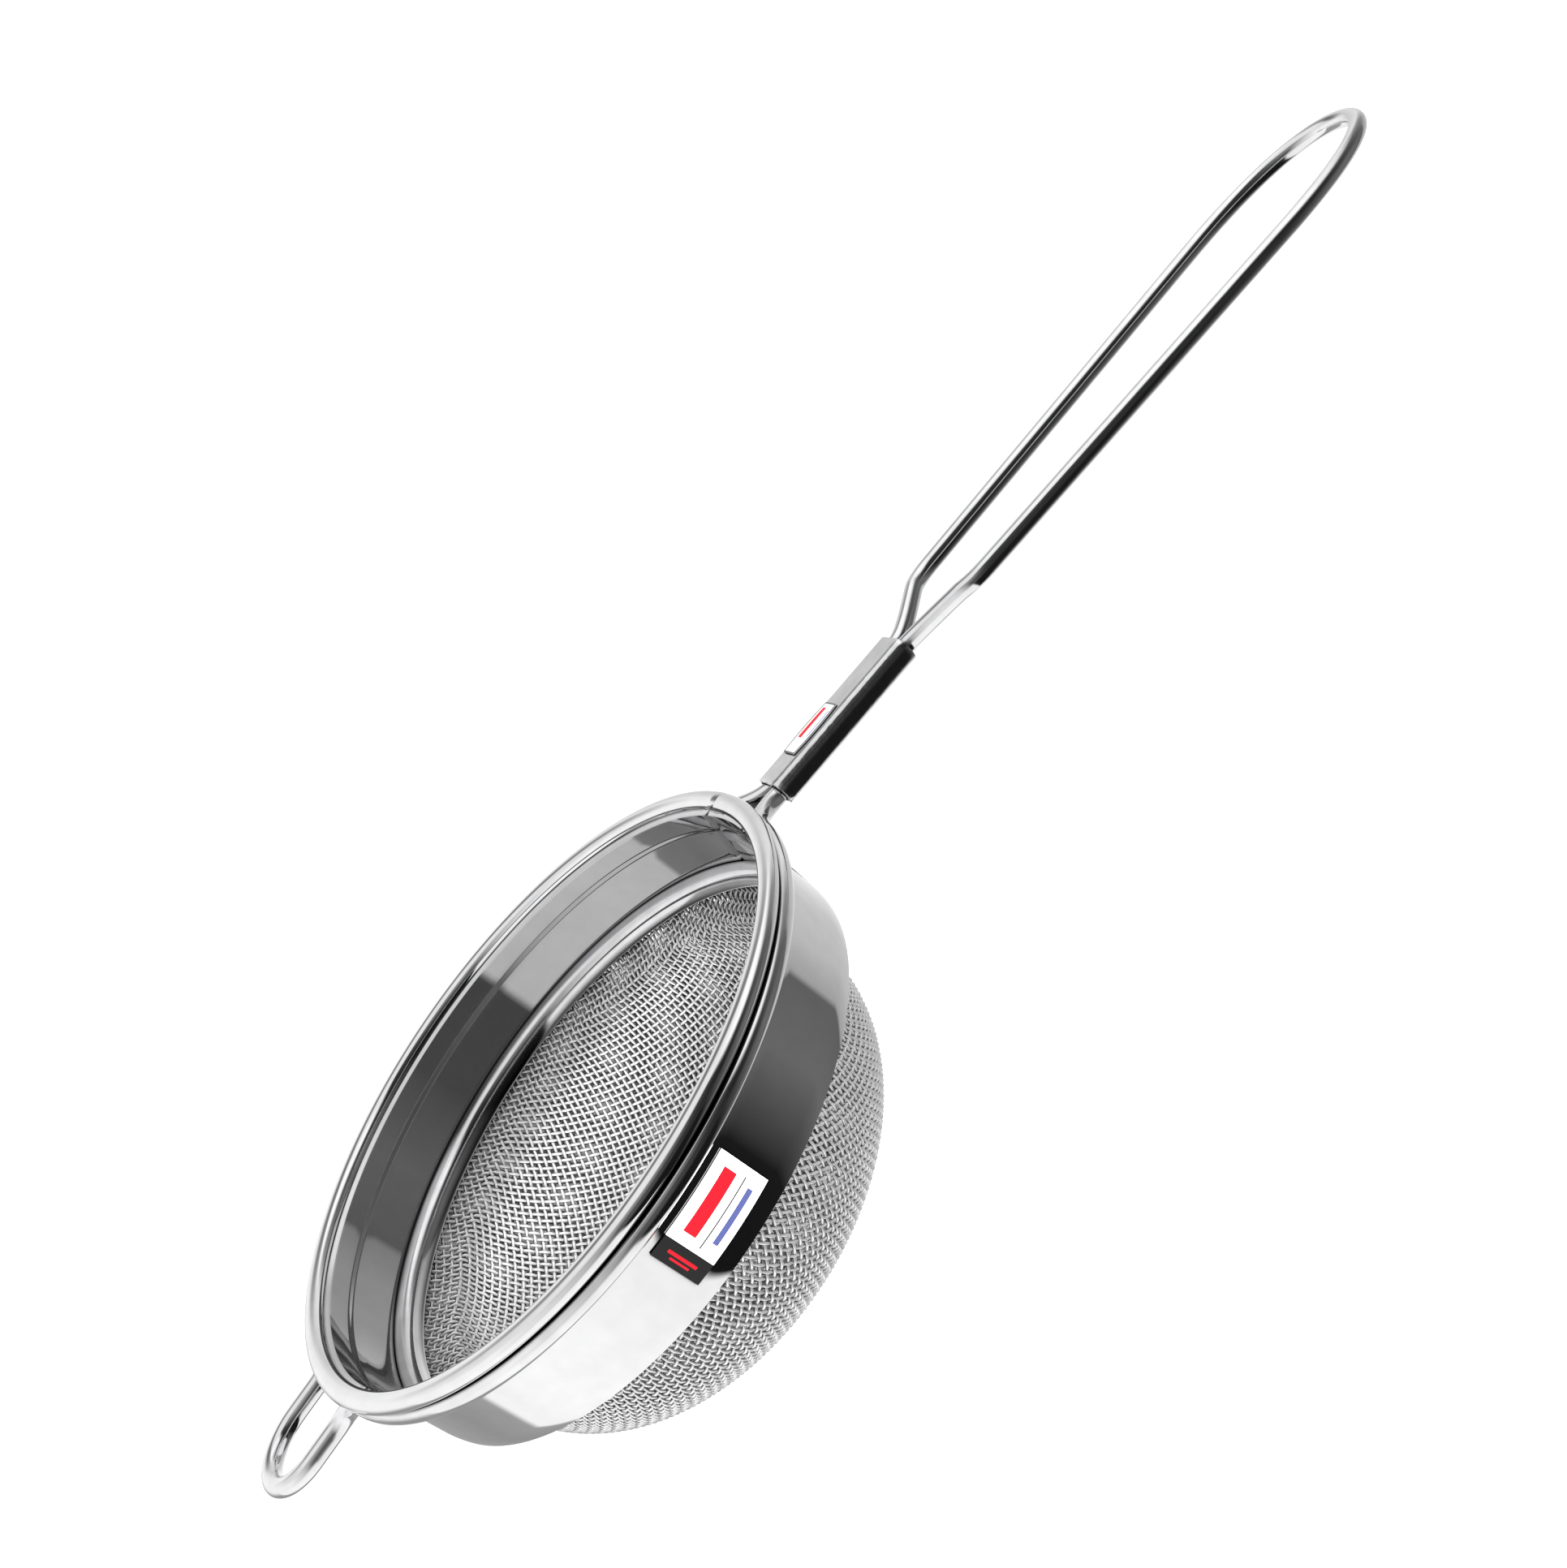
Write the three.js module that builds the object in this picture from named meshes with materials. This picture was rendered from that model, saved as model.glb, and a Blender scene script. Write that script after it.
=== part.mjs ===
// Tea strainer: a sheet-steel collar with a rolled rim, a wire hoop under the rim that forms the rest
// loop, a hairpin wire handle held in a flattened sleeve, and a double woven bowl clamped by a ring.
// Millimetres, +Z up. The handle points along +X and the rest loop along -X. The origin is the middle
// of the small flat at the bottom of the bowl. Heights below named "rim height" are measured from the
// rim's datum plane, which lies RIM_ABOVE_FOOT over the origin; the assembly group adds that lift.
import * as THREE from 'three';

// ---- Driving dimensions ------------------------------------------------------------------------
const RIM_RADIUS = 48;            // outer radius of the rolled rim
const WIRE_RADIUS = 1.4;          // hoop and handle wire, 2.8 mm stock
const SHEET = 0.4;                // collar sheet thickness
const RIM_ABOVE_FOOT = 45.5;      // rim datum over the bowl's lowest point

// Rolled rim, an oval bead on top of the collar wall. Its arc runs over the top from the inner side.
const BEAD = { z: 0.2, halfWidth: 1.5, halfHeight: 1.25, fromAngle: 210, toAngle: -90 };
const BEAD_RADIUS = RIM_RADIUS - BEAD.halfWidth;

// Collar wall, inner face radii at rim heights. The hem draws in by a soft curve.
const WALL = { radius: 44.3, top: -4.6, creaseRadius: 44.6, creaseFoot: -2.5, creaseTop: -0.95 };
const HEM = { radius: 44.05, z: -16.7, startZ: -14.4, middleRadius: 44.24 };

// Hoop wire under the bead, and the rest loop that it forms at -X.
const HOOP = { radius: 46.55, z: -2.45 };
const EAR = { halfGap: 6.9, tipX: -62.6, rootX: -51, z: -3.9, leaveAngle: 164 };

// Handle line: the sleeve and the wires fall away from the rim at this slope.
const LINE = { startX: 48, startZ: -4.22, slope: -0.0915 };
const SLEEVE = { fromX: 52.2, toX: 80.2, halfWidth: 3.65, halfHeight: 2.1, corner: 1.7, wall: 0.5 };
const WIRE_OFFSET = 1.55;         // the two wires lie side by side in the sleeve
const HOOP_END = { bendX: 53.6, insideX: 65.8, angle: 10.5 };
const HANDLE = {
  insideX: 66.2, splitX: 80.6, bendX: 92.4, bendGap: 8.3,
  shoulderX: 164, shoulderGap: 11.4, tipX: 191.4, lift: 1.4,
};

// How far the control points of the wires' curves stand off from the curves' ends.
const HOOP_PULL = { bend: 3.4, join: 4.2, leave: 4, root: 3 };
const SPLIT_PULL = { along: 2.4, outward: 0.2, inward: 1.5, drop: 0.1 };
const BEND_IN = { back: 1.8, inward: 1.1, along: 1.6, outward: 1 };
const BEND_OUT = { ahead: 3.2, outward: 0.2, along: 1.8, inward: 0.08 };
const TIP_PULL = { reach: 0.66, outward: 0.7, width: 0.62 };
const ROUND_END = 0.55;           // share of the radius that makes a bezier quarter circle

// Woven bowl: the outermost surface, and how far inside it each layer's faces lie.
const DOME = { radius: 39.1, topZ: -19.3, power: 2.35, footRadius: 5, footAngle: 84 };
const SHOULDER = { rise: 1.1, dip: 0.5 };
const FLANGE = { radius: 44.1, topZ: -12.9, bendZ: -14.6 };
const OUTER_LAYER = { outside: 0, inside: 0.35 };
const INNER_LAYER = { outside: 0.6, inside: 0.95 };

// Clamp ring pressed inside the collar. Its lip covers the edges of both meshes.
const RING = { radius: 42.65, topZ: -12.0, bottomZ: -15.9, crownInset: 0.15, bulge: 0.9, edge: 0.3 };
const RING_LIP = { radius: 44.1, thickness: 0.5 };

// Blank labels: one on the collar wall, one on the sleeve's upper face.
const LABEL = { sheet: 0.15, gap: 0.12 };
const COLLAR_LABEL = { fromAngle: -97.2, toAngle: -78.6, top: -6.2, bottom: -13.8 };
const SLEEVE_LABEL = { fromX: 57.5, toX: 67.1, halfWidth: 2.05 };

// Facet counts.
const AROUND = 60;                // collar and ring
const MESH_AROUND = 40;           // woven bowls
const WIRE_SIDES = 8;
const HOOP_STEPS = 120;
const HANDLE_STEPS = 100;
const BEAD_STEPS = 10;
const DOME_STEPS = 7;
const SHOULDER_STEPS = 4;
const CROWN_STEPS = 6;
const LABEL_STEPS = 8;
const CORNER_STEPS = 5;

// ---- Materials ---------------------------------------------------------------------------------
const steel = (color, roughness) => new THREE.MeshStandardMaterial({ color, roughness, metalness: 1 });
const paper = () => new THREE.MeshStandardMaterial({ color: 0xf4f4f2, roughness: 0.6, metalness: 0 });

// ---- Helpers -----------------------------------------------------------------------------------
const radians = (degrees) => THREE.MathUtils.degToRad(degrees);
const lineZ = (x) => LINE.startZ + LINE.slope * (x - LINE.startX);

function named(name, geometry, material) {
  const mesh = new THREE.Mesh(geometry, material);
  mesh.name = name;
  return mesh;
}

// Turns a profile of [radius, height] pairs about Z. LatheGeometry turns about Y, so it is tipped up.
function turned(profile, segments) {
  const points = profile.map(([radius, height]) => new THREE.Vector2(radius, height));
  return new THREE.LatheGeometry(points, segments).rotateX(Math.PI / 2);
}

// A round wire along a curve, closed at both ends.
function wire(curve, steps) {
  const section = new THREE.Shape();
  for (let i = 0; i < WIRE_SIDES; i += 1) {
    const angle = (2 * Math.PI * (i + 0.5)) / WIRE_SIDES;
    const x = WIRE_RADIUS * Math.cos(angle);
    const y = WIRE_RADIUS * Math.sin(angle);
    if (i === 0) section.moveTo(x, y);
    else section.lineTo(x, y);
  }
  section.closePath();
  return new THREE.ExtrudeGeometry(section, { steps, extrudePath: curve, bevelEnabled: false });
}

// A level circular arc about Z.
class LevelArc extends THREE.Curve {
  constructor(radius, z, fromDegrees, toDegrees) {
    super();
    Object.assign(this, { radius, z, from: radians(fromDegrees), to: radians(toDegrees) });
  }

  getPoint(t, target = new THREE.Vector3()) {
    const angle = this.from + (this.to - this.from) * t;
    return target.set(this.radius * Math.cos(angle), this.radius * Math.sin(angle), this.z);
  }
}

const vector = (x, y, z) => new THREE.Vector3(x, y, z);
const bezier = (a, b, c, d) => new THREE.CubicBezierCurve3(a, b, c, d);
const straight = (a, b) => new THREE.LineCurve3(a, b);

// The same curve reflected in the XZ plane and run backwards, for the other half of a wire.
function mirrored(curve) {
  const flip = (point) => vector(point.x, -point.y, point.z);
  if (curve instanceof LevelArc) {
    const degrees = THREE.MathUtils.radToDeg;
    return new LevelArc(curve.radius, curve.z, -degrees(curve.to), -degrees(curve.from));
  }
  if (curve instanceof THREE.LineCurve3) return straight(flip(curve.v2), flip(curve.v1));
  return bezier(flip(curve.v3), flip(curve.v2), flip(curve.v1), flip(curve.v0));
}

function symmetricPath(half) {
  const path = new THREE.CurvePath();
  half.forEach((curve) => path.add(curve));
  [...half].reverse().forEach((curve) => path.add(mirrored(curve)));
  return path;
}

// ---- Collar band -------------------------------------------------------------------------------
// One strip: a rounded hem at the bottom, a plain wall, a shallow crease, and the rolled bead on top.
function collarBand() {
  const innerFace = [
    [HEM.radius, HEM.z],
    [HEM.middleRadius, (HEM.z + HEM.startZ) / 2],
    [WALL.radius, HEM.startZ],
    [WALL.radius, WALL.top],
    [WALL.creaseRadius, WALL.creaseFoot],
  ];
  const outerFace = innerFace.map(([radius, z]) => [radius + SHEET, z]).reverse();
  const beadFrom = radians(BEAD.fromAngle);
  const beadTo = radians(BEAD.toAngle);
  const bead = [];
  for (let i = 0; i <= BEAD_STEPS; i += 1) {
    const angle = beadFrom + ((beadTo - beadFrom) * i) / BEAD_STEPS;
    bead.push([
      BEAD_RADIUS + BEAD.halfWidth * Math.cos(angle),
      BEAD.z + BEAD.halfHeight * Math.sin(angle),
    ]);
  }
  const profile = [
    ...innerFace,
    [WALL.creaseRadius, WALL.creaseTop],
    ...bead,
    [WALL.creaseRadius + SHEET, BEAD.z - BEAD.halfHeight],
    ...outerFace,
    innerFace[0],
  ];
  return named('collar_band', turned(profile.reverse(), AROUND), steel(0xc9cccd, 0.12));
}

// ---- Hoop wire with the rest loop --------------------------------------------------------------
function hoopWire() {
  const end = vector(HOOP_END.insideX, WIRE_OFFSET, lineZ(HOOP_END.insideX));
  const bend = vector(HOOP_END.bendX, WIRE_OFFSET, lineZ(HOOP_END.bendX));
  const joinAngle = radians(HOOP_END.angle);
  const join = vector(HOOP.radius * Math.cos(joinAngle), HOOP.radius * Math.sin(joinAngle), HOOP.z);
  const alongHoop = vector(-Math.sin(joinAngle), Math.cos(joinAngle), 0);
  const leaveAngle = radians(EAR.leaveAngle);
  const leave = vector(HOOP.radius * Math.cos(leaveAngle), HOOP.radius * Math.sin(leaveAngle), HOOP.z);
  const pastHoop = vector(-Math.sin(leaveAngle), Math.cos(leaveAngle), 0);
  const root = vector(EAR.rootX, EAR.halfGap, EAR.z);
  const turn = vector(EAR.tipX + EAR.halfGap, EAR.halfGap, EAR.z);
  const tip = vector(EAR.tipX, 0, EAR.z);
  const roundness = ROUND_END * EAR.halfGap;
  const half = [
    straight(end, bend),
    bezier(bend, vector(bend.x - HOOP_PULL.bend, bend.y, bend.z),
      join.clone().addScaledVector(alongHoop, -HOOP_PULL.join), join),
    new LevelArc(HOOP.radius, HOOP.z, HOOP_END.angle, EAR.leaveAngle),
    bezier(leave, leave.clone().addScaledVector(pastHoop, HOOP_PULL.leave),
      vector(root.x + HOOP_PULL.root, root.y, root.z), root),
    straight(root, turn),
    bezier(turn, vector(turn.x - roundness, turn.y, turn.z), vector(tip.x, roundness, tip.z), tip),
  ];
  return named('hoop_wire', wire(symmetricPath(half), HOOP_STEPS), steel(0xd2d4d5, 0.1));
}

// ---- Handle wire -------------------------------------------------------------------------------
function handleWire() {
  const onLine = (x, y) => vector(x, y, lineZ(x));
  const raised = (x, y) => vector(x, y, lineZ(x) + HANDLE.lift);
  const end = onLine(HANDLE.insideX, WIRE_OFFSET);
  const split = onLine(HANDLE.splitX, WIRE_OFFSET);
  const bendIn = raised(HANDLE.bendX - BEND_IN.back, HANDLE.bendGap - BEND_IN.inward);
  const bendOut = raised(HANDLE.bendX + BEND_OUT.ahead, HANDLE.bendGap + BEND_OUT.outward);
  const shoulder = raised(HANDLE.shoulderX, HANDLE.shoulderGap);
  const tip = raised(HANDLE.tipX, 0);
  const reach = (HANDLE.tipX - HANDLE.shoulderX) * TIP_PULL.reach;
  const half = [
    straight(end, split),
    bezier(split, onLine(split.x + SPLIT_PULL.along, split.y + SPLIT_PULL.outward),
      vector(bendIn.x - SPLIT_PULL.along, bendIn.y - SPLIT_PULL.inward, bendIn.z - SPLIT_PULL.drop), bendIn),
    bezier(bendIn, raised(bendIn.x + BEND_IN.along, bendIn.y + BEND_IN.outward),
      raised(bendOut.x - BEND_OUT.along, bendOut.y - BEND_OUT.inward), bendOut),
    straight(bendOut, shoulder),
    bezier(shoulder, raised(shoulder.x + reach, shoulder.y + TIP_PULL.outward),
      vector(tip.x, HANDLE.shoulderGap * TIP_PULL.width, tip.z), tip),
  ];
  return named('handle_wire', wire(symmetricPath(half), HANDLE_STEPS), steel(0xd2d4d5, 0.1));
}

// ---- Sleeve over the wire ends -----------------------------------------------------------------
function roundedOutline(path, halfWidth, halfHeight, corner) {
  path.moveTo(halfWidth - corner, -halfHeight);
  path.absarc(halfWidth - corner, -halfHeight + corner, corner, -Math.PI / 2, 0, false);
  path.absarc(halfWidth - corner, halfHeight - corner, corner, 0, Math.PI / 2, false);
  path.absarc(-halfWidth + corner, halfHeight - corner, corner, Math.PI / 2, Math.PI, false);
  path.absarc(-halfWidth + corner, -halfHeight + corner, corner, Math.PI, 1.5 * Math.PI, false);
  path.closePath();
  return path;
}

// Lays a piece that was extruded along its own Z onto the sloping handle line, starting at x.
// Its own X becomes +Y and its own Y becomes up.
function ontoLine(mesh, x) {
  mesh.geometry.applyMatrix4(
    new THREE.Matrix4().makeBasis(vector(0, 1, 0), vector(0, 0, 1), vector(1, 0, 0)),
  );
  const tilt = new THREE.Group();
  tilt.position.set(x, 0, lineZ(x));
  tilt.rotation.y = -Math.atan(LINE.slope);
  tilt.add(mesh);
  return tilt;
}

function handleSleeve() {
  const { halfWidth, halfHeight, corner, wall } = SLEEVE;
  const outline = roundedOutline(new THREE.Shape(), halfWidth, halfHeight, corner);
  outline.holes.push(roundedOutline(new THREE.Path(), halfWidth - wall, halfHeight - wall, corner - wall));
  const length = (SLEEVE.toX - SLEEVE.fromX) / Math.cos(Math.atan(LINE.slope));
  const settings = { depth: length, bevelEnabled: false, curveSegments: CORNER_STEPS };
  const geometry = new THREE.ExtrudeGeometry(outline, settings);
  return ontoLine(named('handle_sleeve', geometry, steel(0xbfc2c4, 0.16)), SLEEVE.fromX);
}

// ---- Woven bowls -------------------------------------------------------------------------------
// The face that lies `inset` inside the bowl's outermost surface, from the foot up to the flange edge.
function bowlFace(inset) {
  const footZ = -RIM_ABOVE_FOOT + inset;
  const radius = DOME.radius - inset;
  const depth = DOME.topZ - footZ;
  const face = [[0, footZ], [DOME.footRadius, footZ]];
  const power = 2 / DOME.power;
  for (let i = 1; i <= DOME_STEPS; i += 1) {
    const angle = radians(DOME.footAngle * (1 - i / DOME_STEPS));
    face.push([radius * Math.cos(angle) ** power, DOME.topZ - depth * Math.sin(angle) ** power]);
  }
  const shoulder = new THREE.CubicBezierCurve(
    new THREE.Vector2(radius, DOME.topZ),
    new THREE.Vector2(radius, DOME.topZ + SHOULDER.rise + inset),
    new THREE.Vector2(FLANGE.radius - inset, DOME.topZ - SHOULDER.dip + inset),
    new THREE.Vector2(FLANGE.radius - inset, FLANGE.bendZ),
  );
  shoulder.getPoints(SHOULDER_STEPS).slice(1).forEach((point) => face.push([point.x, point.y]));
  face.push([FLANGE.radius - inset, FLANGE.topZ]);
  return face;
}

function meshBowl(name, layer, color) {
  const profile = [...bowlFace(layer.outside), ...bowlFace(layer.inside).reverse()];
  return named(name, turned(profile, MESH_AROUND), steel(color, 0.35));
}

// ---- Clamp ring --------------------------------------------------------------------------------
// A strip with a crowned face towards the bowl and a lip that reaches out to the collar wall.
function meshClampRing() {
  const middle = (RING.topZ + RING.bottomZ) / 2;
  const halfHeight = (RING.topZ - RING.bottomZ) / 2;
  const lipZ = RING.topZ - RING_LIP.thickness;
  const profile = [
    [RING.radius, lipZ],
    [RING_LIP.radius, lipZ],
    [RING_LIP.radius, RING.topZ],
  ];
  for (let i = 0; i <= CROWN_STEPS; i += 1) {
    const angle = (Math.PI * i) / CROWN_STEPS;
    profile.push([
      RING.radius - RING.crownInset - RING.bulge * Math.sin(angle),
      middle + halfHeight * Math.cos(angle),
    ]);
  }
  profile.push([RING.radius, RING.bottomZ + RING.edge], [RING.radius, lipZ]);
  return named('mesh_clamp_ring', turned(profile, AROUND), steel(0xdfe1e2, 0.14));
}

// ---- Blank labels ------------------------------------------------------------------------------
function collarLabel() {
  const inner = WALL.radius + SHEET + LABEL.gap;
  const outer = inner + LABEL.sheet;
  const from = radians(COLLAR_LABEL.fromAngle);
  const to = radians(COLLAR_LABEL.toAngle);
  const at = (radius, i) => {
    const angle = from + ((to - from) * i) / LABEL_STEPS;
    return new THREE.Vector2(radius * Math.cos(angle), radius * Math.sin(angle));
  };
  const points = [];
  for (let i = 0; i <= LABEL_STEPS; i += 1) points.push(at(outer, i));
  for (let i = LABEL_STEPS; i >= 0; i -= 1) points.push(at(inner, i));
  const depth = COLLAR_LABEL.top - COLLAR_LABEL.bottom;
  const geometry = new THREE.ExtrudeGeometry(new THREE.Shape(points), { depth, bevelEnabled: false });
  const label = named('collar_label', geometry, paper());
  label.position.z = COLLAR_LABEL.bottom;
  return label;
}

function sleeveLabel() {
  const { fromX, toX, halfWidth } = SLEEVE_LABEL;
  const low = SLEEVE.halfHeight + LABEL.gap;
  const outline = new THREE.Shape();
  outline.moveTo(-halfWidth, low);
  outline.lineTo(halfWidth, low);
  outline.lineTo(halfWidth, low + LABEL.sheet);
  outline.lineTo(-halfWidth, low + LABEL.sheet);
  outline.closePath();
  const geometry = new THREE.ExtrudeGeometry(outline, { depth: toX - fromX, bevelEnabled: false });
  return ontoLine(named('sleeve_label', geometry, paper()), fromX);
}

// ---- Assembly ----------------------------------------------------------------------------------
const strainer = new THREE.Group();
strainer.position.z = RIM_ABOVE_FOOT;
strainer.add(
  collarBand(),
  hoopWire(),
  handleWire(),
  handleSleeve(),
  meshClampRing(),
  meshBowl('outer_mesh_bowl', OUTER_LAYER, 0x9a9da0),
  meshBowl('inner_mesh_bowl', INNER_LAYER, 0xb4b7ba),
  collarLabel(),
  sleeveLabel(),
);

export default strainer;
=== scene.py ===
"""Looks of the tea strainer: polished steel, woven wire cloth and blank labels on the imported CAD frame.

Lengths are millimetres in the CAD frame until an object is made, and MM turns them into metres.
Heights are from the rim's datum plane, which stands RIM_Z over the floor.
"""

import math
from collections import namedtuple

import bpy
import numpy as np
from mathutils import Matrix, Vector


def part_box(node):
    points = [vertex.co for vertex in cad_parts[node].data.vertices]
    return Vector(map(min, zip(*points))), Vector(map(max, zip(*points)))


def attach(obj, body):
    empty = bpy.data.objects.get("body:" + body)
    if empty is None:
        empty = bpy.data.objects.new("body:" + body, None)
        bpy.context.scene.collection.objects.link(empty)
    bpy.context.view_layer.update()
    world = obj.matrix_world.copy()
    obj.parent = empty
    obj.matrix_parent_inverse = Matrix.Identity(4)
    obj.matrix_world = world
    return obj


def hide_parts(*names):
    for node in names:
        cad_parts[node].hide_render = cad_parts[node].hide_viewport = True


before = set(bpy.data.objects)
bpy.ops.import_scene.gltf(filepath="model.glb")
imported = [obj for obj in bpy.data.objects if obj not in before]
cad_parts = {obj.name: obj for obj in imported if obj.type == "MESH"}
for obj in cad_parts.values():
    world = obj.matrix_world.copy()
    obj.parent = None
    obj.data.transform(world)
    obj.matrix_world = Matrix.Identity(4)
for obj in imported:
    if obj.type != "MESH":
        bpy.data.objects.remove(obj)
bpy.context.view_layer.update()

# ---- Driving dimensions --------------------------------------------------------------------------
MM = 0.001
collar_low, collar_high = (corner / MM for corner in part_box("collar_band"))
hoop_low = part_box("hoop_wire")[0] / MM
handle_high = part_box("handle_wire")[1] / MM
sleeve_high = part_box("handle_sleeve")[1] / MM

SHEET = 0.4                 # collar sheet thickness
WIRE_RADIUS = 1.4           # hoop and handle wire
WIRE_SIDES = 32

# Rolled bead on the collar's top edge.
BEAD_HALF_WIDTH = 1.5
BEAD_HALF_HEIGHT = 1.25
BEAD_Z = 0.2
BEAD_FROM = 210             # degrees round its section, from the wall over the top to underneath
BEAD_TO = -90
BEAD_R = collar_high.y - BEAD_HALF_WIDTH
RIM_Z = collar_high.z - BEAD_Z - BEAD_HALF_HEIGHT

# Collar wall: inner face radii and heights.
WALL_R = 44.3
STEP_R = 44.6
STEP_TOP = -0.95
STEP_FOOT = -4.0
WALL_TOP = -4.9
HEM_TOP = -14.4
HEM_R = 44.05
HEM_Z = collar_low.z - RIM_Z
INSIDE_WIDTH = 16.0         # how far up the strip from its foot the inner face's painted shade, darker and less metallic, reaches

# The collar strip laps over itself near the handle, all in degrees but for the depth. The end that
# shows isn't square: it lies at these angles for heights up the wall and for places round the bead.
LAP_FROM = -6.0             # where the covered end starts
LAP_SINK = 0.42             # how deep the covered end lies
LAP_CLEAR = 0.5             # how far it runs on at that depth past the end that shows
LAP_EASE = 1.0              # over which it then rises to the common surface
LAP_ON_WALL = ((HEM_Z, 17.0), (-8.0, 12.0), (-2.5, 8.0))
LAP_ON_BEAD = ((-90, 0.2), (0, 0.4), (60, 1.7), (110, 1.9), (150, 3.0), (180, 5.0), (210, 7.0))
LAP_OUTSIDE = 0.2

# The line that the sleeve and the wires in it follow, and the wires' places on it.
LINE_X = 48.0
LINE_Z = -4.22
LINE_SLOPE = -0.0915
WIRE_OFFSET = 1.55

# Hoop wire under the bead and the rest loop that it forms. A pull says how far a curve's control
# point lies from its end.
HOOP_END_X = 65.8
HOOP_BEND_X = 53.6
HOOP_BEND_PULL = 3.4
HOOP_R = 46.55
HOOP_Z = -2.45
HOOP_JOINS = 10.5           # degrees
HOOP_JOIN_PULL = 4.2
EAR_LEAVES = 164.0          # degrees
EAR_LEAVE_PULL = 4.0
EAR_HALF_GAP = 6.9
EAR_Z = -3.9
EAR_ROOT_X = -51.0
EAR_ROOT_PULL = 3.0
EAR_ROUNDNESS = 0.55        # the tip's pulls, as a share of the half gap
EAR_TIP_X = hoop_low.x + WIRE_RADIUS

# Handle wire. Its strands part at the split, spread to the bend, run straight to the shoulders and
# meet round the tip. A point beside the split, bend or shoulder is an x and y offset from it.
HANDLE_END_X = 66.2
HANDLE_LIFT = 1.4           # over the line, from the bend on
SPLIT_X = 80.6
SPLIT_CONTROL = (2.4, 0.2)
BEND_X = 92.4
BEND_GAP = 8.3
BEND_START_PULL = (2.4, 1.5, 0.1)
BEND_START = (-1.8, -1.1)
BEND_CONTROLS = ((-0.2, -0.1), (1.4, 0.12))
BEND_END = (3.2, 0.2)
SHOULDER_X = 164.0
SHOULDER_GAP = 11.4
SHOULDER_REACH = 0.66       # its control point, as a share of the way to the tip
SHOULDER_SPREAD = 0.7
TIP_ROUNDNESS = 0.62        # the tip's pull, as a share of the shoulder's gap
HANDLE_TIP_X = handle_high.x - WIRE_RADIUS

# Sleeve pressed over the wire ends.
SLEEVE_HALF_WIDTH = sleeve_high.y
SLEEVE_HALF_HEIGHT = 2.1
SLEEVE_CORNER = 1.7
SLEEVE_WALL = 0.5
SLEEVE_FROM_X = 52.2
SLEEVE_TO_X = 80.2
SLEEVE_LIP = 0.14           # how far the edges of its mouths are rounded over
SLEEVE_LIP_MIDDLE = 0.3     # the middle of that rounding, as a share of it
SLEEVE_MARGIN = 0.04        # the even cuts of its body keep this share of its length from each end

# Woven bowl: the outermost surface of the cloth. The dome is a superellipse of this power, and its
# shoulder's control points lie this far above and below the dome's top.
DOME_R = 39.1
DOME_TOP = -19.3
DOME_POWER = 2.35
DOME_POINTS = 400
SHOULDER_ABOVE = 1.1
SHOULDER_BELOW = 0.5
FLANGE_R = 44.1
FLANGE_BEND = -14.6
FLANGE_TOP = -12.9

# The two cloths of the bowl.
OUTER_CLOTH = 0.43          # depth of each cloth's middle surface inside the outermost one
INNER_CLOTH = 1.2
OUTER_PITCH = 1.02          # between neighbouring wires
INNER_PITCH = 1.12
OUTER_TURN = 55.0           # degrees, the way the wires run
INNER_TURN = 59.5
WEAVE_WIRE = 0.25           # radius of the cloth's wire
WEAVE_WAVE = 0.19           # how far a wire rises over and under its neighbours
WEAVE_SHORTEST = 2          # half pitches from the middle to the ends of the shortest wire

# Clamp ring inside the collar.
RING_LIP_R = 44.15          # the lip reaches out over the edges of the cloth
RING_LIP = 0.4
RING_LIP_PULL = 1.3
RING_TOP = -12.0
RING_CROWN_R = 41.6
RING_CROWN_Z = -14.1
RING_CROWN_PULLS = (1.6, 1.1)   # above and below the crown
RING_R = 42.65              # its back, behind the crown
RING_FOOT = -15.9
RING_FOOT_PULL = 0.6
RING_SHADE_TOP_Z = RING_CROWN_Z - 0.5    # top of the painted shade on its underside

# Blank labels.
LABEL_SHEET = 0.15
LABEL_GAP = 0.12
LABEL_POINTS = 25
COLLAR_LABEL_FROM = -97.2   # degrees
COLLAR_LABEL_TO = -78.6
COLLAR_LABEL_TOP = -6.2
COLLAR_LABEL_FOOT = -13.8
SLEEVE_LABEL_FROM_X = 57.5
SLEEVE_LABEL_TO_X = 67.1
SLEEVE_LABEL_HALF_WIDTH = 2.05
SLEEVE_LABEL_BOW = 0.35     # how much narrower it is at the ends


# ---- Mesh helpers --------------------------------------------------------------------------------
def point(x, y, z):
    """A point at height z over the rim's datum plane."""
    return np.array([x, y, RIM_Z + z])


def points(*coordinates):
    """Points from arrays of coordinates, whose shapes only have to match up."""
    return np.stack(np.broadcast_arrays(*coordinates), -1)


def points_round(radius, angle, z):
    """Points round the rim's axis, at height z over the datum plane."""
    return points(radius * np.cos(angle), radius * np.sin(angle), RIM_Z + z)


def line_z(x):
    return LINE_Z + LINE_SLOPE * (x - LINE_X)


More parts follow.
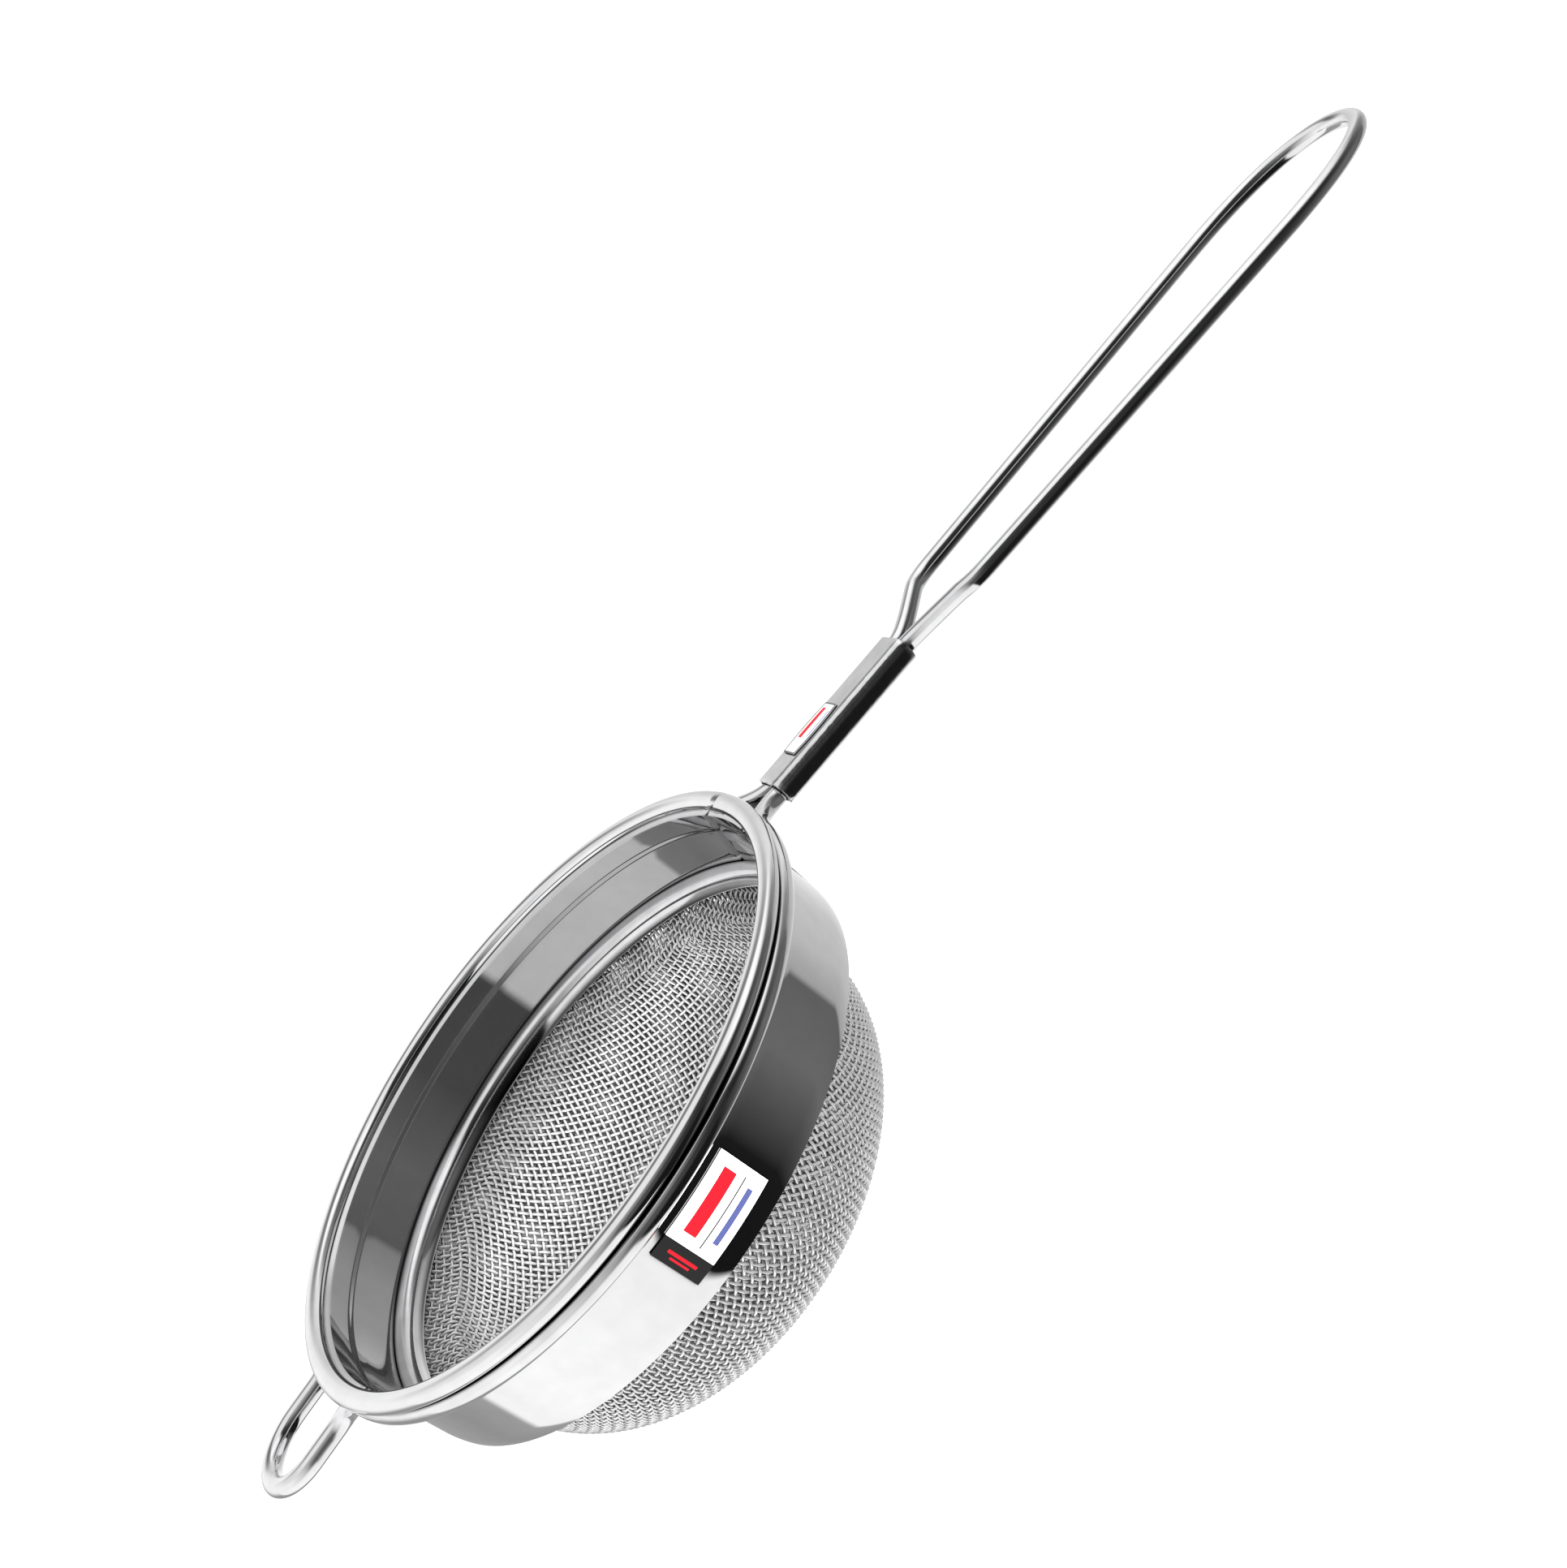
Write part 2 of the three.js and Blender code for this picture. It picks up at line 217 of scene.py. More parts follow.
def mesh_object(name, vertices, faces, sharp_degrees=None, grain=None):
    """An object from arrays, smooth shaded, with edges sharper than sharp_degrees kept crisp.

    The grain is a coordinate of each vertex that the materials read.
    """
    mesh = bpy.data.meshes.new(name)
    mesh.from_pydata((vertices * MM).tolist(), [], faces)
    mesh.shade_smooth()
    if sharp_degrees is not None:
        mesh.set_sharp_from_angle(angle=math.radians(sharp_degrees))
    if grain is not None:
        attribute = mesh.attributes.new("grain", "FLOAT_VECTOR", "POINT")
        attribute.data.foreach_set("vector", np.asarray(grain, np.float32).ravel())
    mesh.update()
    thing = bpy.data.objects.new(name, mesh)
    bpy.context.scene.collection.objects.link(thing)
    return thing


def strip_faces(rows, columns, first=0, closed_along=False):
    """Quads between rows of a closed section, as vertex numbers from first."""
    across = np.arange(columns)
    beside = np.roll(across, -1)
    starts = np.arange(rows if closed_along else rows - 1)[:, None] * columns
    nexts = (starts + columns) % (rows * columns)
    quads = np.stack([starts + across, starts + beside, nexts + beside, nexts + across], -1)
    return (quads.reshape(-1, 4) + first).tolist()


def capped_faces(rows, columns, first=0):
    """The quads between rows of a closed section, and the two ends."""
    last = first + (rows - 1) * columns
    near_end = list(range(first, first + columns))[::-1]
    far_end = list(range(last, last + columns))
    return strip_faces(rows, columns, first) + [near_end, far_end]


def loft(name, rings, sharp_degrees=None, closed_along=False, grain=None):
    """A closed solid through an array of rings, each a closed section of the same number of points."""
    rows, columns, _ = rings.shape
    if closed_along:
        faces = strip_faces(rows, columns, closed_along=True)
    else:
        faces = capped_faces(rows, columns)
    return mesh_object(name, rings.reshape(-1, 3), faces, sharp_degrees, grain)


def bezier(a, b, c, d, steps):
    t = np.linspace(0, 1, steps + 1)[:, None]
    return (1 - t) ** 3 * a + 3 * (1 - t) ** 2 * t * b + 3 * (1 - t) * t ** 2 * c + t ** 3 * d


def straight(a, b, steps):
    return a + (b - a) * np.linspace(0, 1, steps + 1)[:, None]


def level_arc(radius, z, start, end, steps):
    return points_round(radius, np.radians(np.linspace(start, end, steps + 1)), z)


def there_and_back(stretches):
    """One path along the stretches on the +Y side and back along their mirror image."""
    half = [stretches[0]] + [stretch[1:] for stretch in stretches[1:]]
    out = np.concatenate(half)
    back = out[::-1][1:] * np.array([1, -1, 1])
    return np.concatenate([out, back])


def unit(vectors):
    return vectors / np.linalg.norm(vectors, axis=-1, keepdims=True)


def ease(t):
    """0 up to 0, 1 from 1 on, and a smooth change between them."""
    t = np.clip(t, 0, 1)
    return t * t * (3 - 2 * t)


def tube(name, path, radius, sides):
    """A round wire along a path, with its grain coordinate running along the wire."""
    tangent = unit(np.gradient(path, axis=0))
    normal = np.zeros_like(path)
    normal[0] = unit(np.cross(tangent[0], [0.0, 0.0, 1.0]))
    for i in range(1, len(path)):
        carried = normal[i - 1] - tangent[i] * (normal[i - 1] @ tangent[i])
        normal[i] = unit(carried)
    side = np.cross(tangent, normal)
    angle = np.linspace(0, 2 * math.pi, sides, endpoint=False)
    spokes = normal[:, None] * np.cos(angle)[:, None] + side[:, None] * np.sin(angle)[:, None]
    rings = path[:, None] + radius * spokes
    length = np.concatenate([[0], np.cumsum(np.linalg.norm(np.diff(path, axis=0), axis=1))])
    grain = points(np.cos(angle) * radius, np.sin(angle) * radius, length[:, None])
    return loft(name, rings, grain=grain)


# ---- Collar --------------------------------------------------------------------------------------
def collar_profile():
    """The strip's closed section, from its foot up the inner face, round the bead and down the outside.

    Each row is a radius and height, the way in which the covered end sinks, and the angle at which
    the end that shows lies there.
    """
    hem_cuts = 8
    wall_cuts = 7
    jog_cuts = 6
    step_cuts = 3
    bead_cuts = 32
    rows = []

    def add(radius, z, sink_r, sink_z, end):
        rows.append((radius, z, sink_r, sink_z, end))

    def wall_end(z):
        return np.interp(z, *zip(*LAP_ON_WALL))

    def hem_z(t):
        return HEM_TOP + (HEM_Z - HEM_TOP) * t

    for i in range(hem_cuts + 1):
        t = 1 - i / hem_cuts
        add(WALL_R - (WALL_R - HEM_R) * t * t, hem_z(t), 1, 0, wall_end(hem_z(t)))
    for z in np.linspace(HEM_TOP, WALL_TOP, wall_cuts + 1)[1:]:
        add(WALL_R, z, 1, 0, wall_end(z))
    for t in np.linspace(0, 1, jog_cuts + 1)[1:]:
        z = WALL_TOP + (STEP_FOOT - WALL_TOP) * t
        add(WALL_R + (STEP_R - WALL_R) * ease(t), z, 1, 0, wall_end(z))
    for z in np.linspace(STEP_FOOT, STEP_TOP, step_cuts + 1)[1:]:
        add(STEP_R, z, 1, 0, wall_end(z))
    for i in range(bead_cuts + 1):
        degrees = BEAD_FROM + (BEAD_TO - BEAD_FROM) * i / bead_cuts
        cosine = math.cos(math.radians(degrees))
        sine = math.sin(math.radians(degrees))
        radius = BEAD_R + BEAD_HALF_WIDTH * cosine
        end = np.interp(degrees, *zip(*LAP_ON_BEAD))
        add(radius, BEAD_Z + BEAD_HALF_HEIGHT * sine, -cosine, -sine, end)
    add(STEP_R + SHEET, BEAD_Z - BEAD_HALF_HEIGHT, 0, 0, LAP_OUTSIDE)
    add(STEP_R + SHEET, STEP_FOOT, 0, 0, LAP_OUTSIDE)
    for z in np.linspace(WALL_TOP, HEM_TOP, wall_cuts + 1):
        add(WALL_R + SHEET, z, 0, 0, LAP_OUTSIDE)
    for i in range(1, hem_cuts + 1):
        t = i / hem_cuts
        add(WALL_R + SHEET - (WALL_R - HEM_R) * t * t, hem_z(t), 0, 0, LAP_OUTSIDE)
    return np.array(rows)


def build_collar():
    """The strip, once round from its covered end to the end that shows."""
    cuts = 420
    radius, z, sink_r, sink_z, end = collar_profile().T
    along = np.linspace(0, 1, cuts + 1)[:, None]
    degrees = LAP_FROM + (360 + end - LAP_FROM) * along
    covered = ease((end + LAP_EASE + LAP_CLEAR - degrees) / LAP_EASE) * LAP_SINK
    angle = np.radians(degrees)
    rings = points_round(radius + sink_r * covered, angle, z + sink_z * covered)
    walk = np.cumsum(np.hypot(np.diff(radius, prepend=radius[0]), np.diff(z, prepend=z[0])))
    grain = points(radius * np.cos(angle), radius * np.sin(angle), walk)
    return loft("collar", rings, sharp_degrees=38, grain=grain)


# ---- Wires ---------------------------------------------------------------------------------------
def build_hoop():
    """Out of the sleeve, round the collar, round the rest loop and back."""
    end = point(HOOP_END_X, WIRE_OFFSET, line_z(HOOP_END_X))
    bend = point(HOOP_BEND_X, WIRE_OFFSET, line_z(HOOP_BEND_X))
    joins = math.radians(HOOP_JOINS)
    leaves = math.radians(EAR_LEAVES)
    join = point(HOOP_R * math.cos(joins), HOOP_R * math.sin(joins), HOOP_Z)
    join_pull = join - HOOP_JOIN_PULL * np.array([-math.sin(joins), math.cos(joins), 0])
    leave = point(HOOP_R * math.cos(leaves), HOOP_R * math.sin(leaves), HOOP_Z)
    leave_pull = leave + EAR_LEAVE_PULL * np.array([-math.sin(leaves), math.cos(leaves), 0])
    root = point(EAR_ROOT_X, EAR_HALF_GAP, EAR_Z)
    root_pull = root + np.array([EAR_ROOT_PULL, 0, 0])
    turn = point(EAR_TIP_X + EAR_HALF_GAP, EAR_HALF_GAP, EAR_Z)
    tip = point(EAR_TIP_X, 0, EAR_Z)
    roundness = EAR_ROUNDNESS * EAR_HALF_GAP
    turn_pull = turn - np.array([roundness, 0, 0])
    tip_pull = tip + np.array([0, roundness, 0])
    path = there_and_back([
        straight(end, bend, steps=8),
        bezier(bend, bend - np.array([HOOP_BEND_PULL, 0, 0]), join_pull, join, steps=24),
        level_arc(HOOP_R, HOOP_Z, HOOP_JOINS, EAR_LEAVES, steps=150),
        bezier(leave, leave_pull, root_pull, root, steps=20),
        straight(root, turn, steps=6),
        bezier(turn, turn_pull, tip_pull, tip, steps=20),
    ])
    return tube("hoop", path, WIRE_RADIUS, WIRE_SIDES)


def build_handle():
    """Out of the sleeve, along one strand, round the tip and back along the other."""
    def on_line(x, y, lift, offset=(0, 0)):
        shift_x, shift_y = offset
        return point(x + shift_x, y + shift_y, line_z(x + shift_x) + lift)

    def by_bend(offset):
        return on_line(BEND_X, BEND_GAP, HANDLE_LIFT, offset)

    end = on_line(HANDLE_END_X, WIRE_OFFSET, 0)
    split = on_line(SPLIT_X, WIRE_OFFSET, 0)
    split_control = on_line(SPLIT_X, WIRE_OFFSET, 0, SPLIT_CONTROL)
    bend_start = by_bend(BEND_START)
    bend_end = by_bend(BEND_END)
    shoulder = on_line(SHOULDER_X, SHOULDER_GAP, HANDLE_LIFT)
    reach = (HANDLE_TIP_X - SHOULDER_X) * SHOULDER_REACH
    shoulder_control = on_line(SHOULDER_X, SHOULDER_GAP, HANDLE_LIFT, (reach, SHOULDER_SPREAD))
    tip = on_line(HANDLE_TIP_X, 0, HANDLE_LIFT)
    tip_pull = tip + np.array([0, SHOULDER_GAP * TIP_ROUNDNESS, 0])
    path = there_and_back([
        straight(end, split, steps=8),
        bezier(split, split_control, bend_start - np.array(BEND_START_PULL), bend_start, steps=20),
        bezier(bend_start, *(by_bend(control) for control in BEND_CONTROLS), bend_end, steps=12),
        straight(bend_end, shoulder, steps=60),
        bezier(shoulder, shoulder_control, tip_pull, tip, steps=48),
    ])
    return tube("handle", path, WIRE_RADIUS, WIRE_SIDES)


# ---- Sleeve --------------------------------------------------------------------------------------
def rounded_rectangle(half_width, half_height, corner, steps):
    """Closed outline, as across and up offsets, starting at the bottom right corner."""
    outline = []
    corners = ((1, -1, -90), (1, 1, 0), (-1, 1, 90), (-1, -1, 180))
    for side, up, start in corners:
        for degrees in np.linspace(start, start + 90, steps + 1):
            angle = math.radians(degrees)
            outline.append((
                side * (half_width - corner) + corner * math.cos(angle),
                up * (half_height - corner) + corner * math.sin(angle),
            ))
    return np.array(outline)


def on_sleeve(x, across, up):
    """Points of a section that stands square on the handle line at x."""
    tilt = math.atan(LINE_SLOPE)
    return points(x - up * math.sin(tilt), across, RIM_Z + line_z(x) + up * math.cos(tilt))


def build_sleeve():
    """A flattened tube with rounded lips, open at both ends.

    The sections run along its outside, and closing them runs back through its inside.
    """
    body_cuts = 30
    length = SLEEVE_TO_X - SLEEVE_FROM_X
    middle = SLEEVE_LIP * SLEEVE_LIP_MIDDLE
    near = [(0.0, SLEEVE_WALL), (0.0, SLEEVE_LIP), (middle, middle), (SLEEVE_LIP, 0.0)]
    body = [(length * t, 0.0) for t in np.linspace(SLEEVE_MARGIN, 1 - SLEEVE_MARGIN, body_cuts)]
    far = [(length - start, inset) for start, inset in near[::-1]]
    rings = []
    for start, inset in near + body + far:
        across, up = rounded_rectangle(
            SLEEVE_HALF_WIDTH - inset, SLEEVE_HALF_HEIGHT - inset, SLEEVE_CORNER - inset, steps=9).T
        rings.append(on_sleeve(SLEEVE_FROM_X + start, across, up))
    rings = np.array(rings)
    return loft("sleeve", rings, sharp_degrees=50, closed_along=True, grain=rings)


# ---- Woven bowl ----------------------------------------------------------------------------------
def bowl_meridian(depth_inside):
    """Fine profile of a cloth from bottom to top: radius in the flat cloth, place and outward normal.

    Pressing the cloth keeps its area, so a flat disc covers the bowl's surface inside the same ring.
    """
    floor_z = -RIM_Z + depth_inside
    radius = DOME_R - depth_inside
    depth = DOME_TOP - floor_z
    angle = np.radians(90 * (1 - np.linspace(0, 1, DOME_POINTS)))
    power = 2 / DOME_POWER
    dome = np.stack([radius * np.cos(angle) ** power, DOME_TOP - depth * np.sin(angle) ** power], -1)
    dome[0, 0] = 0
    flange = FLANGE_R - depth_inside
    shoulder = bezier(
        np.array([radius, DOME_TOP]),
        np.array([radius, DOME_TOP + SHOULDER_ABOVE + depth_inside]),
        np.array([flange, DOME_TOP - SHOULDER_BELOW + depth_inside]),
        np.array([flange, FLANGE_BEND]),
        steps=60)
    top = np.array([[flange, FLANGE_TOP]])
    profile = np.concatenate([dome, shoulder[1:], top])
    direction = unit(np.gradient(profile, axis=0))
    normal = np.stack([direction[:, 1], -direction[:, 0]], -1)
    step = np.linalg.norm(np.diff(profile, axis=0), axis=1)
    ring_area = 2 * step * (profile[1:, 0] + profile[:-1, 0]) / 2
    flat_radius = np.sqrt(np.concatenate([[0], np.cumsum(ring_area)]))
    return flat_radius, profile, normal


def pressed(flat, flat_radius, profile, normal):
    """Where points of the flat cloth come to lie, the way out there, and the depth below the flange."""
    distance = np.hypot(*flat.T)
    angle = np.arctan2(flat[:, 1], flat[:, 0])
    spoke = np.stack([np.cos(angle), np.sin(angle)], -1)
    r, z = (np.interp(distance, flat_radius, column) for column in profile.T)
    out_r, out_z = (np.interp(distance, flat_radius, column) for column in normal.T)
    place = np.concatenate([spoke * r[:, None], RIM_Z + z[:, None]], -1)
    out = unit(np.concatenate([spoke * out_r[:, None], out_z[:, None]], -1))
    return place, out, FLANGE_BEND - z


def build_cloth(name, depth_inside, pitch, turn, across):
    """All the wires of one direction of a woven bowl. The cloth's flat grid is pressed onto the bowl.

    Points lie half a pitch apart along a wire. Every second one is a crossing, over and under by turns.
    """
    meridian = bowl_meridian(depth_inside)
    reach = meridian[0][-1]
    half = pitch / 2
    count = int(reach / pitch)
    heading = math.radians(turn + (90 if across else 0))
    ahead = np.array([math.cos(heading), math.sin(heading)])
    beside = np.array([-ahead[1], ahead[0]])
    vertices, grains, faces = [], [], []
    first = 0
    for i in range(-count, count + 1):
        offset = i * pitch
        ends = int(math.sqrt(max(reach ** 2 - offset ** 2, 0)) / half)
        if ends < WEAVE_SHORTEST:
            continue
        k = np.arange(-ends, ends + 1)
        place, out, depth = pressed(ahead * (k * half)[:, None] + beside * offset, *meridian)
        crossing = k // 2 + i + (1 if across else 0)
        wave = np.where(k % 2 == 0, np.where(crossing % 2 == 0, 1.0, -1.0), 0.0)
        path = place + out * (wave * WEAVE_WAVE)[:, None]
        tangent = unit(np.gradient(path, axis=0))
        side = unit(np.cross(tangent, out))
        up = np.cross(side, tangent)
        spokes = np.stack([up, side, -up, -side], 1)
        rings = path[:, None] + spokes * WEAVE_WIRE
        rows, columns, _ = rings.shape
        vertices.append(rings.reshape(-1, 3))
        grains.append(np.repeat(points(k * half, offset, depth), columns, axis=0))
        faces += capped_faces(rows, columns, first)
        first += rows * columns
    return mesh_object(name, np.concatenate(vertices), faces, grain=np.concatenate(grains))


# ---- Clamp ring ----------------------------------------------------------------------------------
def build_ring():
    """A strip with a lip against the collar wall that rolls over into a crown towards the bowl."""
    cuts_round = 360
    above_crown, below_crown = RING_CROWN_PULLS
    lip = np.array([RING_LIP_R, RING_TOP])
    crown = np.array([RING_CROWN_R, RING_CROWN_Z])
    foot = np.array([RING_R, RING_FOOT])
    lip_pull = lip - np.array([RING_LIP_PULL, 0])
    foot_pull = foot - np.array([RING_FOOT_PULL, 0])
    roll = bezier(lip, lip_pull, crown + np.array([0, above_crown]), crown, steps=16)
    under = bezier(crown, crown - np.array([0, below_crown]), foot_pull, foot, steps=10)
    back = np.array([[RING_R, RING_TOP - RING_LIP], [RING_LIP_R, RING_TOP - RING_LIP]])
    radius, z = np.concatenate([roll, under[1:], back]).T
    turn = np.radians(np.linspace(0, 360, cuts_round, endpoint=False))[:, None]
    rings = points_round(radius, turn, z)
    return loft("clamp_ring", rings, sharp_degrees=60, closed_along=True, grain=rings)


# ---- Labels --------------------------------------------------------------------------------------
def label_sections(length, half_width, bow):
    """Places along a label and its half width there. The long sides bow in by bow towards the ends."""
    shares = np.linspace(0, 1, LABEL_POINTS)
    return [(length * t, half_width - bow * (2 * t - 1) ** 2) for t in shares]


def build_collar_label():
    inner = WALL_R + SHEET + LABEL_GAP
    outer = inner + LABEL_SHEET
    middle = (COLLAR_LABEL_TOP + COLLAR_LABEL_FOOT) / 2
    half_width = (COLLAR_LABEL_TOP - COLLAR_LABEL_FOOT) / 2
    length = outer * math.radians(COLLAR_LABEL_TO - COLLAR_LABEL_FROM)
    rings, print_places = [], []
    for along, width in label_sections(length, half_width, bow=0):
        angle = math.radians(COLLAR_LABEL_FROM) + along / outer
        radius = np.array([inner, outer, outer, inner])
        up = np.array([-width, -width, width, width])
        rings.append(points_round(radius, angle, middle + up))
        print_places.append(points(along / length, 0.5 + up / (2 * half_width), 0))
    return loft("collar_sticker", np.array(rings), sharp_degrees=40, grain=np.array(print_places))


def build_sleeve_label():
    low = SLEEVE_HALF_HEIGHT + LABEL_GAP
    high = low + LABEL_SHEET
    length = SLEEVE_LABEL_TO_X - SLEEVE_LABEL_FROM_X
    rings, print_places = [], []
    for along, width in label_sections(length, SLEEVE_LABEL_HALF_WIDTH, SLEEVE_LABEL_BOW):
        across = np.array([-width, width, width, -width])
        up = np.array([low, low, high, high])
        rings.append(on_sleeve(SLEEVE_LABEL_FROM_X + along, across, up))
        print_places.append(points(along / length, 0.5 + across / (2 * width), 0))
    return loft("sleeve_sticker", np.array(rings), sharp_degrees=40, grain=np.array(print_places))


# ---- Materials -----------------------------------------------------------------------------------
def grey(shade):
    return (shade, shade, shade)


def opaque(colour):
    return (*colour, 1)


WHITE = grey(1.0)
CREVICE_SHADE = grey(0.02)        # painted shade: what is left of a colour deep in a crevice
NOISE_LOW = 0.3             # most of a noise texture's values lie between these two
NOISE_HIGH = 0.7
MIX_UNDER = 6               # the Mix node's colour sockets have the same names as its others
MIX_OVER = 7
MIX_RESULT = 2

# Scales of the patterns that all steel has, per millimetre of grain.
TONE_SCALE = 0.35
SMUDGE_SCALE = 0.22

# Painted shade on a steel: up to an edge of the grain's third coordinate, with a fade on both sides
# of it, its tone falls to a share and the steel counts as this metallic.
PaintedShade = namedtuple("PaintedShade", "edge fade share metallic")

# Printed marks, as shares of a label's length (start, end) and of its width (low, high).
Mark = namedtuple("Mark", "start end low high")
THICK_BAR = Mark(0.30, 0.90, 0.54, 0.80)
RULE = Mark(0.25, 0.92, 0.36, 0.39)
THIN_BAR = Mark(0.34, 0.86, 0.14, 0.25)
END_STRIP = Mark(-0.1, 0.2, -0.1, 1.1)
END_STRIP_BARS = (Mark(0.09, 0.12, 0.2, 0.8), Mark(0.05, 0.07, 0.3, 0.7))
INSIDE_OUTLINE = Mark(0.03, 0.97, 0.08, 0.91)
PAPER_DARK = grey(0.86)
PAPER_LIGHT = grey(0.93)
PAPER_GRAIN = (40, 20, 1)   # how much finer the fibres are than a label is long and wide
RULE_INK = grey(0.04)
STRIP_INK = grey(0.008)
OUTLINE_INK = grey(0.12)


class Nodes:
    """A node tree with short ways to add and join nodes. A value is a socket, a number or a colour."""

    def __init__(self, tree):
        self.tree = tree

    def add(self, kind, **settings):
        node = self.tree.nodes.new("ShaderNode" + kind)
        for name, value in settings.items():
            setattr(node, name, value)
        return node

    def feed(self, target, value):
        if isinstance(value, bpy.types.NodeSocket):
            self.tree.links.new(value, target)
        else:
            target.default_value = value

    def grain(self, scale=(1, 1, 1)):
        """The piece's grain coordinate, stretched by scale."""
        source = self.add("Attribute", attribute_name="grain")
        return self.product(source.outputs["Vector"], scale)

    def split(self, vector):
        """The three coordinates of a vector."""
        node = self.add("SeparateXYZ")
        self.feed(node.inputs["Vector"], vector)
        return node.outputs["X"], node.outputs["Y"], node.outputs["Z"]

    def product(self, a, b):
        """Two vectors or colours multiplied."""
        node = self.add("VectorMath", operation="MULTIPLY")
        self.feed(node.inputs[0], a)
        self.feed(node.inputs[1], b)
        return node.outputs["Vector"]

    def calculate(self, operation, *values):
        node = self.add("Math", operation=operation)
        for socket, value in zip(node.inputs, values):
            self.feed(socket, value)
        return node.outputs["Value"]

    def noise(self, vector, scale, detail, roughness=0.5):
        node = self.add("TexNoise")
        self.feed(node.inputs["Vector"], vector)
        self.feed(node.inputs["Scale"], scale)
        self.feed(node.inputs["Detail"], detail)
        self.feed(node.inputs["Roughness"], roughness)
        return node.outputs["Fac"]

    def ramp(self, value, stops):
        """A colour for each value, from stops that are a place and a colour."""
        node = self.add("ValToRGB")
        self.feed(node.inputs["Fac"], value)
        elements = node.color_ramp.elements
        while len(elements) < len(stops):
            elements.new(0.5)
        for element, (place, colour) in zip(elements, stops):
            element.position = place
            element.color = opaque(colour)
        return node.outputs["Color"]

    def mottle(self, noise, dark, light):
        """Soft changes from dark to light, over the range where a noise's values lie."""
        return self.ramp(noise, ((NOISE_LOW, dark), (NOISE_HIGH, light)))

    def mix(self, factor, under, over):
        node = self.add("Mix", data_type="RGBA")
        self.feed(node.inputs["Factor"], factor)
        self.feed(node.inputs[MIX_UNDER], under)
        self.feed(node.inputs[MIX_OVER], over)
        return node.outputs[MIX_RESULT]

    def spread(self, value, low, high):
        """Low where the value is 0 and high where it is 1."""
        node = self.add("MapRange")
        self.feed(node.inputs["Value"], value)
        self.feed(node.inputs["To Min"], low)
        self.feed(node.inputs["To Max"], high)
        return node.outputs["Result"]

    def rise(self, value, start, end, interpolation="LINEAR"):
        """0 where the value is below the start, 1 where it is above the end."""
        node = self.add("MapRange", interpolation_type=interpolation)
        self.feed(node.inputs["Value"], value)
        self.feed(node.inputs["From Min"], start)
        self.feed(node.inputs["From Max"], end)
        return node.outputs["Result"]

    def beyond(self, edge, fade):
        """0 where the grain's third coordinate is below the edge, 1 above it, with a soft change."""
        _, _, third = self.split(self.grain())
        return self.rise(third, edge - fade, edge + fade)

    def painted_crevice_shade(self, colour, reach_mm, closed, clear):
        """The colour with painted shade, dark where other surfaces stand within the reach.

        At the closed share of open view only the painted shade's colour is left, and from the clear share
        on nothing is darkened.
        """
        near = self.add("AmbientOcclusion", samples=8)
        self.feed(near.inputs["Distance"], reach_mm * MM)
        return self.product(colour, self.ramp(near.outputs["AO"], ((closed, CREVICE_SHADE), (clear, WHITE))))

    def bump(self, height, depth_mm, strength=1.0, onto=None):
        """Relief of this depth, on top of the relief given as onto."""
        node = self.add("Bump")
        self.feed(node.inputs["Strength"], strength)
        self.feed(node.inputs["Distance"], depth_mm * MM)
        self.feed(node.inputs["Height"], height)
        if onto is not None:
            self.feed(node.inputs["Normal"], onto)
        return node.outputs["Normal"]


class Surface(Nodes):
    """A new material and its nodes."""

    def __init__(self, name):
        self.material = bpy.data.materials.new(name)
        self.material.use_nodes = True
        super().__init__(self.material.node_tree)
        self.shader = self.tree.nodes["Principled BSDF"]

    def set(self, name, value):
        self.feed(self.shader.inputs[name], value)


def steel(name, dark, light, rough, streak, streak_depth, wave_scale, wave_depth,
          reach=0.45, closed=0.25, clear=0.85, metallic=1.0, painted_shade=None):
    """Stainless steel: soft tone changes, smudged roughness, fine drawn streaks and a slow ripple.

    It has painted shade in crevices that are narrower than the reach, and it may have a zone of painted
    shade.
    """
    nodes = Surface(name)
    nodes.set("Metallic", metallic)
    place = nodes.grain()
    colour = nodes.mottle(nodes.noise(place, TONE_SCALE, detail=3), dark, light)
    # Painted shade below the edge: the tone falls to the share there and the metallic changes to the
    # given value.
    if painted_shade is not None:
        outside_painted_shade = nodes.beyond(painted_shade.edge, painted_shade.fade)
        colour = nodes.product(colour, nodes.ramp(outside_painted_shade, ((0.0, grey(painted_shade.share)), (1.0, WHITE))))
        nodes.set("Metallic", nodes.spread(outside_painted_shade, painted_shade.metallic, metallic))
    # Painted shade in crevices narrower than the reach.
    nodes.set("Base Color", nodes.painted_crevice_shade(colour, reach, closed, clear))
    smudge = nodes.noise(place, SMUDGE_SCALE, detail=4, roughness=0.6)
    nodes.set("Roughness", nodes.spread(smudge, *rough))
    streaks = nodes.noise(nodes.grain(streak), scale=1.0, detail=3)
    ripple = nodes.noise(place, wave_scale, detail=1)
    nodes.set("Normal", nodes.bump(ripple, wave_depth, onto=nodes.bump(streaks, streak_depth)))
    return nodes.material


def collar_steel():
    # Painted shade: dark lines in its crevices, and a darker, less metallic inner face low down on the
    # strip.
    return steel(
        "polished_collar_steel", dark=(0.83, 0.83, 0.84), light=(0.88, 0.88, 0.89), rough=(0.015, 0.06),
        streak=(0.05, 0.05, 9.0), streak_depth=0.0002, wave_scale=0.07, wave_depth=0.006,
        reach=0.9, closed=0.5, clear=0.92,
        painted_shade=PaintedShade(edge=INSIDE_WIDTH, fade=0.5, share=0.46, metallic=0.955))


